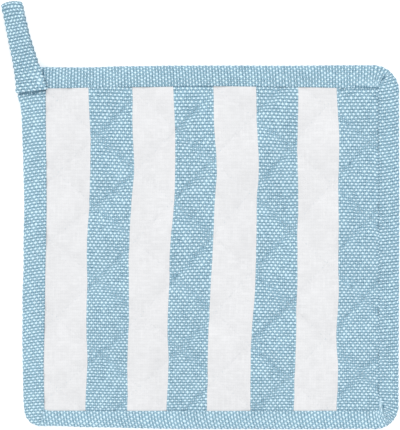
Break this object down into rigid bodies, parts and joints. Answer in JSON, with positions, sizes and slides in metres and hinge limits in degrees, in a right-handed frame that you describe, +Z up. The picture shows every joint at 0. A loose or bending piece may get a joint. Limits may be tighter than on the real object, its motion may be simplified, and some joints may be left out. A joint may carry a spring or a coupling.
{
  "type": "pot holder",
  "caption": "Square quilted cotton pot holder with woven stripes, diamond quilting, a folded binding with rounded corners and a flat hanging loop at one corner.",
  "frame": {"origin": "middle of the whole object's box, on the surface that it lies on", "axes": "+Z up out of the face, +Y towards the edge that the loop passes, +X to the right seen from above"},
  "size_m": [0.2154, 0.2315, 0.008],
  "materials": {
    "striped_cotton": "matt plain weave with pale blue and white stripes",
    "blue_cotton": "matt plain weave, pale blue with white weft"
  },
  "bodies": {
    "root": {"quilted_pad": "striped_cotton", "binding": "blue_cotton", "hanging_loop": "blue_cotton"}
  },
  "joints": []
}
